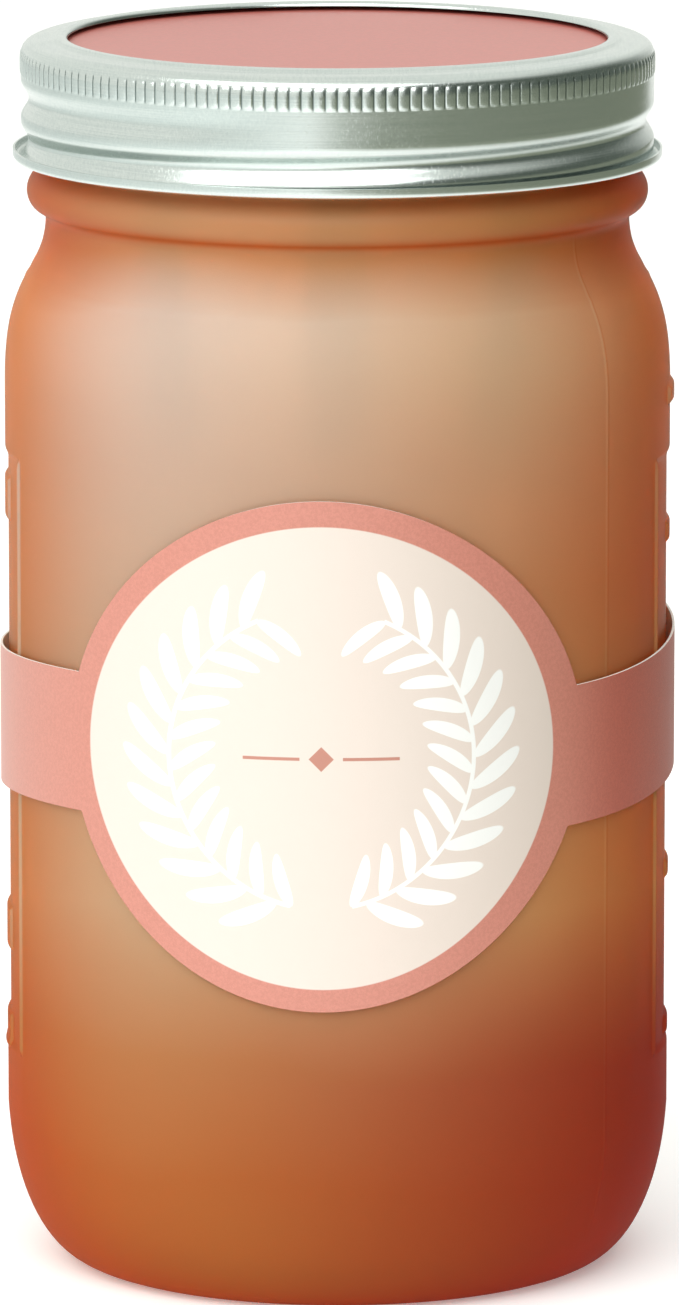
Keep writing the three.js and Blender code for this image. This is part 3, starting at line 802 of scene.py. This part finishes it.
def make_band(tin):
    """The tin as its centre line moved half its thickness each way along its normal, pressed in by the
    thread's depth, with the pads and finer rings along the knurl."""
    below, along, above = band_line()
    line = np.vstack([below, along, above])
    tangent = np.gradient(line, axis=0)
    tangent /= np.linalg.norm(tangent, axis=1)[:, None]
    normal = np.stack([tangent[:, 1], -tangent[:, 0]], axis=1)
    coarse = np.arange(2 * KNURL_RIBS) / (2 * KNURL_RIBS) * TURN
    shares = np.array([0, 0.05, 0.11, 0.17, 0.5, 0.83, 0.89, 0.95])
    rib = np.arange(KNURL_RIBS)[:, None]
    fine = ((rib + shares) / KNURL_RIBS * TURN).ravel()
    wall_low = WALL_BOTTOM - 1.5
    wall_high = KNURL_Z[0] + 0.5
    wall_out = WALL_RADIUS + 0.1
    rings = []
    for side in (1, -1):
        skin = line + side * TIN / 2 * normal
        rows = range(len(line)) if side > 0 else range(len(line) - 1, -1, -1)
        for row in rows:
            knurled = side > 0 and len(below) <= row < len(below) + len(along)
            azimuth = fine if knurled else coarse
            radius, z = skin[row]
            on_wall = wall_low < line[row][1] < wall_high and line[row][0] < wall_out
            depth = pressed_depth(azimuth, line[row][1]) if on_wall else 0
            pads = knurl_pads(np.tile(shares, KNURL_RIBS), z) if knurled else 0
            rings.append((radius - depth + pads + 0 * azimuth, azimuth, z))
    band = turned_piece("tin_screw_band", rings, [tin], sharp=60)
    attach(band, "band")
    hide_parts("screw_band")


def make_disc(lacquer):
    """The flat disc, with a skirt turned down round it."""
    under = DISC_TOP - DISC_THICKNESS
    skirt = DISC_TOP - DISC_SKIRT
    inner = DISC_RADIUS - DISC_THICKNESS
    outline = np.vstack(
        [
            straight((POLE_RADIUS, under), (inner - 0.4, under), 10),
            straight((inner, under - 0.4), (inner, skirt), 2),
            straight((DISC_RADIUS, skirt), (DISC_RADIUS, DISC_TOP - 0.4), 2),
            round_stretch((DISC_RADIUS - 0.4, DISC_TOP - 0.4), 0.4, 0, 90, 5)[1:],
            straight((DISC_RADIUS - 1, DISC_TOP), (POLE_RADIUS, DISC_TOP), 20),
        ]
    )
    azimuth = np.arange(0, TURN, 1.5)
    rings = [(np.full(len(azimuth), radius), azimuth, z) for radius, z in outline]
    disc = turned_piece("lacquered_disc", rings, [lacquer], ends=(under, DISC_TOP), sharp=40)
    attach(disc, "lid")
    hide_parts("lid_disc")


def strip_middle(azimuth):
    """The strip's middle height round the jar: a short sum of waves, a tilt and a slight twist."""
    angle = np.radians(azimuth)
    cos1, cos2, sin1, sin2 = STRIP_WAVES
    even = cos1 * np.cos(angle) + cos2 * np.cos(2 * angle)
    odd = sin1 * np.sin(angle) + sin2 * np.sin(2 * angle)
    return STRIP_MEAN_Z + even + odd


def label_edges(azimuth):
    """The label's lower and upper edge: the strip's, or the round face's where that is further."""
    low = strip_middle(azimuth) - LABEL_HEIGHT / 2
    across = LABEL_RADIUS * np.sin(np.radians(azimuth - FACE_AZIMUTH)) / FACE_HALF_WIDTH
    on_face = (np.abs(azimuth) < 90) & (np.abs(across) < 1)
    half = np.where(on_face, FACE_HALF_HEIGHT * np.sqrt(np.clip(1 - across**2, 0, 1)), 0)
    return np.minimum(low, FACE_Z - half), np.maximum(low + LABEL_HEIGHT, FACE_Z + half)


def make_label(card, core):
    """One sheet round the jar, whose right-hand end steps out over its left-hand end at the back. Its printed
    skin and its white cut edge and back are kinds of face of the one piece."""
    face_steps = 220
    back_steps = 160
    rows = 48
    across = -np.cos(np.linspace(0, math.pi, face_steps + 1))
    face = FACE_AZIMUTH + np.degrees(np.arcsin(across * FACE_HALF_WIDTH / LABEL_RADIUS))
    end = TURN / 2 + LABEL_OVERLAP / 2
    left = np.linspace(-end, face[0], back_steps // 2)[:-1]
    right = np.linspace(face[-1], end, back_steps // 2)[1:]
    azimuth = np.concatenate([left, face, right])
    low, high = label_edges(azimuth)
    share = np.linspace(0, 1, rows + 1)[:, None]
    z = low + (high - low) * share
    step = LABEL_STEP * ease(azimuth, LABEL_STEP_AZIMUTH, TURN / 2 - LABEL_OVERLAP / 2)
    inner = LABEL_RADIUS + step + 0 * z
    outer = ring_points(inner + LABEL_THICKNESS, azimuth + 0 * z, z)
    points = np.vstack([outer, ring_points(inner, azimuth + 0 * z, z)])
    faces, printed = sheet_faces(rows + 1, len(azimuth))
    kinds = np.where(np.arange(len(faces)) < printed, 0, 1)
    label = mesh_piece("wrapped_label", points, faces.tolist(), [card, core], kinds, sharp=40)
    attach(label, "jar")
    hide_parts("label_band")


def waves(first, second, count, longest, seed):
    """Bumps from 0 to 1: the mean of sine waves of random slant and phase, each shorter than the last."""
    draw = np.random.default_rng(seed)
    total = 0
    for number in range(count):
        slant, phase = draw.uniform(0, math.tau, 2)
        turns = math.tau * (1 + number) / longest
        total = total + np.sin(turns * (first * math.cos(slant) + second * math.sin(slant)) + phase)
    return 0.5 + 0.5 * total / count


def make_seal(rubber):
    """A flat ring with rounded edges, under the disc's edge."""
    low, high = heights("lid_seal")
    half = (high - low) / 2
    middle = low + half
    outer = round_stretch((SEAL_RADII[1] - half, middle), half, -90, 90, 10)
    inner = round_stretch((SEAL_RADII[0] + half, middle), half, 90, 270, 10)
    azimuth = np.arange(0, TURN, 2.0)
    rings = [(radius + 0 * azimuth, azimuth, z) for radius, z in np.vstack([outer, inner])]
    seal = turned_piece("rubber_seal_ring", rings, [rubber])
    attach(seal, "lid")
    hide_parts("lid_seal")


def make_plug(coir):
    """A pressed plug that narrows downwards as the pot does, with a crumbly skin of waves and a socket for
    the wick in its underside."""
    low, high = heights("growing_medium")
    foot, top = PLUG_RADII
    outline = np.vstack(
        [
            straight((SOCKET_RADIUS / 2, SOCKET_TOP), (SOCKET_RADIUS, SOCKET_TOP), 2),
            straight((SOCKET_RADIUS, SOCKET_TOP - 1), (SOCKET_RADIUS, low + 0.5), 10),
            straight((SOCKET_RADIUS + 0.5, low), (foot - 1.5, low), 24),
            bezier((foot - 1, low), (foot - 0.3, low), (foot, low + 0.3), (foot, low + 1), 4),
            straight((foot, low + 2), (top, high - 4), 34),
            bezier((top, high - 3), (top, high - 1), (top - 1, high), (top - 3, high), 8),
            straight((top - 4, high), (1.5, high), 36),
        ]
    )
    azimuth = np.arange(0, TURN, 2.0)
    rings = []
    for radius, z in outline:
        on_top = ease(z, high - 3, high) * ease(radius, 0, 3)
        arc = azimuth / TURN * math.tau * PLUG_RADII[1]
        side_crumbs = waves(arc, z + 0 * arc, CRUMB_WAVES, CRUMB_LENGTH, 5)
        side_crumbs *= ease(radius, SOCKET_RADIUS, foot - 1)
        x, y, _ = ring_points(radius, azimuth, z).T
        top_crumbs = waves(x, y, CRUMB_WAVES, CRUMB_LENGTH, 6) * on_top
        sunk = SIDE_CRUMB * side_crumbs * (1 - on_top)
        rings.append((radius - sunk, azimuth, z - TOP_CRUMB * top_crumbs))
    plug = turned_piece("coir_plug", rings, [coir], ends=(SOCKET_TOP, high - 0.8), sharp=50)
    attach(plug, "jar")
    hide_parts("growing_medium")


def make_wick(felt):
    """A flat strip: its section is where the fourth powers of its shares across and through add up to 1, a
    little thinner where fine waves of fibre dip."""
    low, high = heights("wick")
    corner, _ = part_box("wick")
    half_width = -corner.x / MM
    half_thick = -corner.y / MM
    azimuth = np.arange(0, TURN, 3.0)
    angle = np.radians(azimuth)
    shape = (np.sin(angle) / half_width) ** 4 + (np.cos(angle) / half_thick) ** 4
    radius = shape**-0.25
    levels = np.linspace(low, high, 260)
    rings = []
    for z in levels:
        end = 1 - 0.5 * (1 - ease(min(z - low, high - z), 0, 0.6))
        fibre = FIBRE_DEPTH * waves(radius * np.sin(angle), z + 0 * angle, 8, 5, 7)
        rings.append(((radius - fibre) * end, azimuth, z))
    wick = turned_piece("felt_wick", rings, [felt], ends=(low, high), sharp=60)
    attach(wick, "jar")
    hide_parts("wick")


def make_packet(name, node, slot, finish, width, length, turn, seam, wrinkle, seed):
    """A filled packet between two flat seams: its thickness is its seam's plus the product of how far each
    place is from the sides and the ends, with shallow wrinkles. Its end seams are crimped in fine ribs."""
    low, high = heights(node)
    middle = (low + high) / 2
    columns = 81
    rows = 241
    across, along = np.meshgrid(np.linspace(-1, 1, columns), np.linspace(-1, 1, rows))
    inside = np.clip((1 - np.abs(along)) * length / 2 - seam, 0, None)
    full = (1 - across**4) * (1 - np.exp(-inside / FILLING_REACH))
    folds = waves(across * width / 2, along * length / 2, 7, 30, seed)
    half = SEAM_THICKNESS / 2 + ((high - low) / 2 - SEAM_THICKNESS) * full * (1 - wrinkle * folds)
    crimp = CRIMP_HEIGHT * np.sin(math.tau * along * length / 2 / CRIMP_PITCH) * (inside == 0)
    x = across * width / 2
    y = along * length / 2
    angle = math.radians(turn)
    turned_x = x * math.cos(angle) - y * math.sin(angle)
    turned_y = x * math.sin(angle) + y * math.cos(angle)
    flat = np.stack([turned_x, turned_y], axis=-1)
    upper = np.concatenate([flat, (middle + crimp + half)[..., None]], axis=-1)
    lower = np.concatenate([flat, (middle + crimp - half)[..., None]], axis=-1)
    faces, _ = sheet_faces(rows, columns)
    points = np.vstack([upper.reshape(-1, 3), lower.reshape(-1, 3)])
    packet = mesh_piece(name, points, faces.tolist(), [finish], sharp=60)
    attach(packet, "jar")
    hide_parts(node)


def dress_node(name, finish):
    """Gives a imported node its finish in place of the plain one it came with."""
    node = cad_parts[name]
    node.data.materials.clear()
    node.data.materials.append(finish)


def make_inside():
    """What the jar holds, seen only as soft shapes through the frosted glass."""
    plastic = soft_matter("natural_plastic", (0.80, 0.77, 0.72, 1), (0.90, 0.87, 0.82, 1), 0.8, 0.02, 0.45)
    rubber = soft_matter("seal_rubber", (0.70, 0.68, 0.63, 1), (0.80, 0.78, 0.73, 1), 1.5, 0.02, 0.6)
    coir = soft_matter("coir", (0.20, 0.12, 0.07, 1), (0.50, 0.34, 0.22, 1), 1.2, 0.8, 0.95, (1, 1, 0.4))
    felt = soft_matter("felt", (0.75, 0.70, 0.62, 1), (0.88, 0.85, 0.78, 1), 3.0, 0.2, 0.95, (1, 1, 0.3))
    paper = soft_matter("packet_paper", (0.72, 0.66, 0.55, 1), (0.82, 0.77, 0.67, 1), 4.0, 0.04, 0.85)
    film = soft_matter("sachet_film", (0.72, 0.71, 0.69, 1), (0.82, 0.81, 0.79, 1), 0.6, 0.25, 0.3)
    dress_node("net_pot", plastic)
    make_seal(rubber)
    make_plug(coir)
    make_wick(felt)
    make_packet("seed_envelope", "seed_packet", "packet_paper", paper, *SEED_PACKET, 3.0, 0.1, 11)
    make_packet("food_sachet", "plant_food_sachet", "sachet_film", film, *FOOD_SACHET, 4.5, 0.3, 12)


def out_towards(finish, x, y, azimuth, start, full):
    """0 up to a distance out towards an azimuth, and 1 from a further one."""
    angle = math.radians(azimuth)
    return finish.step(x * math.sin(angle) - y * math.cos(angle), start, full)


def make_floor():
    """A wide floor, pale wherever the camera sees it. What the tin and the glass mirror of it, and the light
    that it throws back, are dimmer far out on the right and a little dimmer on the left. The light that it
    scatters is dimmer close by on the right too."""
    smooth = (0.96, 0.96, 0.955, 1)
    specked = (0.93, 0.93, 0.93, 1)
    far_tone = (0.27, 0.29, 0.23, 1)
    left_tone = (0.60, 0.64, 0.63, 1)
    near_right_tone = (0.18, 0.16, 0.12, 1)
    lit = (1, 1, 1, 1)
    unlit = (0, 0, 0, 1)
    half = FLOOR_HALF
    finish = new_finish("floor_paper")
    place = finish.place()
    x, y, _ = finish.parts(place)
    far = out_towards(finish, x, y, *FLOOR_FAR)
    seen_tone = finish.mixed(finish.noise(place, 0.5, 2), specked, smooth)
    tone = finish.mixed(far, seen_tone, far_tone)
    tone = finish.mixed(finish.step(0 - x, *FLOOR_LEFT), tone, left_tone)
    near_right = out_towards(finish, x, y, *FLOOR_NEAR_RIGHT) * finish.met("Is Diffuse Ray")
    tone = finish.mixed(near_right, tone, near_right_tone)
    glow = finish.mixed(far.math("MAXIMUM", near_right), lit, unlit)
    seen = finish.met("Is Camera Ray")
    tone = finish.mixed(seen, tone, seen_tone)
    glow = finish.mixed(seen, glow, lit)
    constants = {"Roughness": 1.0, "Specular IOR Level": 0.0, "Emission Strength": FLOOR_GLOW}
    paper = finish.dress(constants, {"Base Color": tone, "Emission Color": glow})
    corners = [(-half, -half, 0), (half, -half, 0), (half, half, 0), (-half, half, 0)]
    floor = mesh_piece("studio_floor", corners, [[0, 1, 2, 3]], [paper])


def direction(azimuth, elevation):
    """The unit vector towards an azimuth and an elevation."""
    a, e = math.radians(azimuth), math.radians(elevation)
    return (math.sin(a) * math.cos(e), -math.cos(a) * math.cos(e), math.sin(e))


def make_studio():
    """A pale room whose right side is dim in the light that it gives and in what the tin reflects. The camera
    sees it pale all round."""
    bright = (0.93, 0.95, 0.90, 1)
    dim = (0.11, 0.13, 0.11, 1)
    world = bpy.data.worlds.new("studio")
    bpy.context.scene.world = world
    room = Finish(world)
    background = room.tree.nodes["Background"]
    towards = room.node("ShaderNodeTexCoord", {}, {}).outputs["Generated"]
    middle = direction(DIM_AZIMUTH, 0)
    aligned = room.node("ShaderNodeVectorMath", {"operation": "DOT_PRODUCT"}, {0: towards, 1: middle})
    up = room.parts(towards)[2]
    side = room.step(Number(room, aligned.outputs[1]), *DIM_COSINES) * (1 - room.step(up, *DIM_HEIGHTS))
    light = room.mixed(side * (1 - room.met("Is Camera Ray")), bright, dim)
    room.tree.links.new(light, background.inputs["Color"])
    background.inputs["Strength"].default_value = 1.0


def make_light(name, azimuth, elevation, distance, width, height, power):
    """A soft panel light that faces the middle of the jar."""
    lamp = bpy.data.lights.new(name, "AREA")
    lamp.shape = "RECTANGLE"
    lamp.size = width
    lamp.size_y = height
    lamp.energy = power
    light = bpy.data.objects.new(name, lamp)
    bpy.context.scene.collection.objects.link(light)
    towards = np.array(direction(azimuth, elevation))
    light.location = towards * distance + np.array((0, 0, CAMERA_AIM_Z * MM))
    light.rotation_euler = (math.radians(90 - elevation), 0, math.radians(azimuth))


def make_camera():
    """The camera fitted to the photograph, which looks down at the jar's middle from its front."""
    camera = bpy.data.cameras.new("camera")
    camera.sensor_width = SENSOR
    camera.lens = CAMERA_FOCAL_PIXELS * SENSOR / max(PHOTO_WIDTH, PHOTO_HEIGHT)
    camera.clip_end = 50
    eye = bpy.data.objects.new("camera", camera)
    bpy.context.scene.collection.objects.link(eye)
    back = np.array(direction(0, CAMERA_ELEVATION))
    aim = np.array((CAMERA_SIDE, 0, CAMERA_AIM_Z))
    eye.location = (aim + CAMERA_DISTANCE * back) * MM
    eye.rotation_euler = (math.radians(90 - CAMERA_ELEVATION), 0, 0)
    bpy.context.scene.camera = eye


make_camera()
make_floor()
make_studio()
make_light("key", azimuth=-16, elevation=44, distance=1.3, width=1.8, height=0.9, power=13)

make_jar(frosted_glass())
make_band(tinplate())
make_disc(pink_lacquer())
make_label(printed_card(), card_core())
make_inside()

bpy.context.scene.view_settings.view_transform = "Standard"
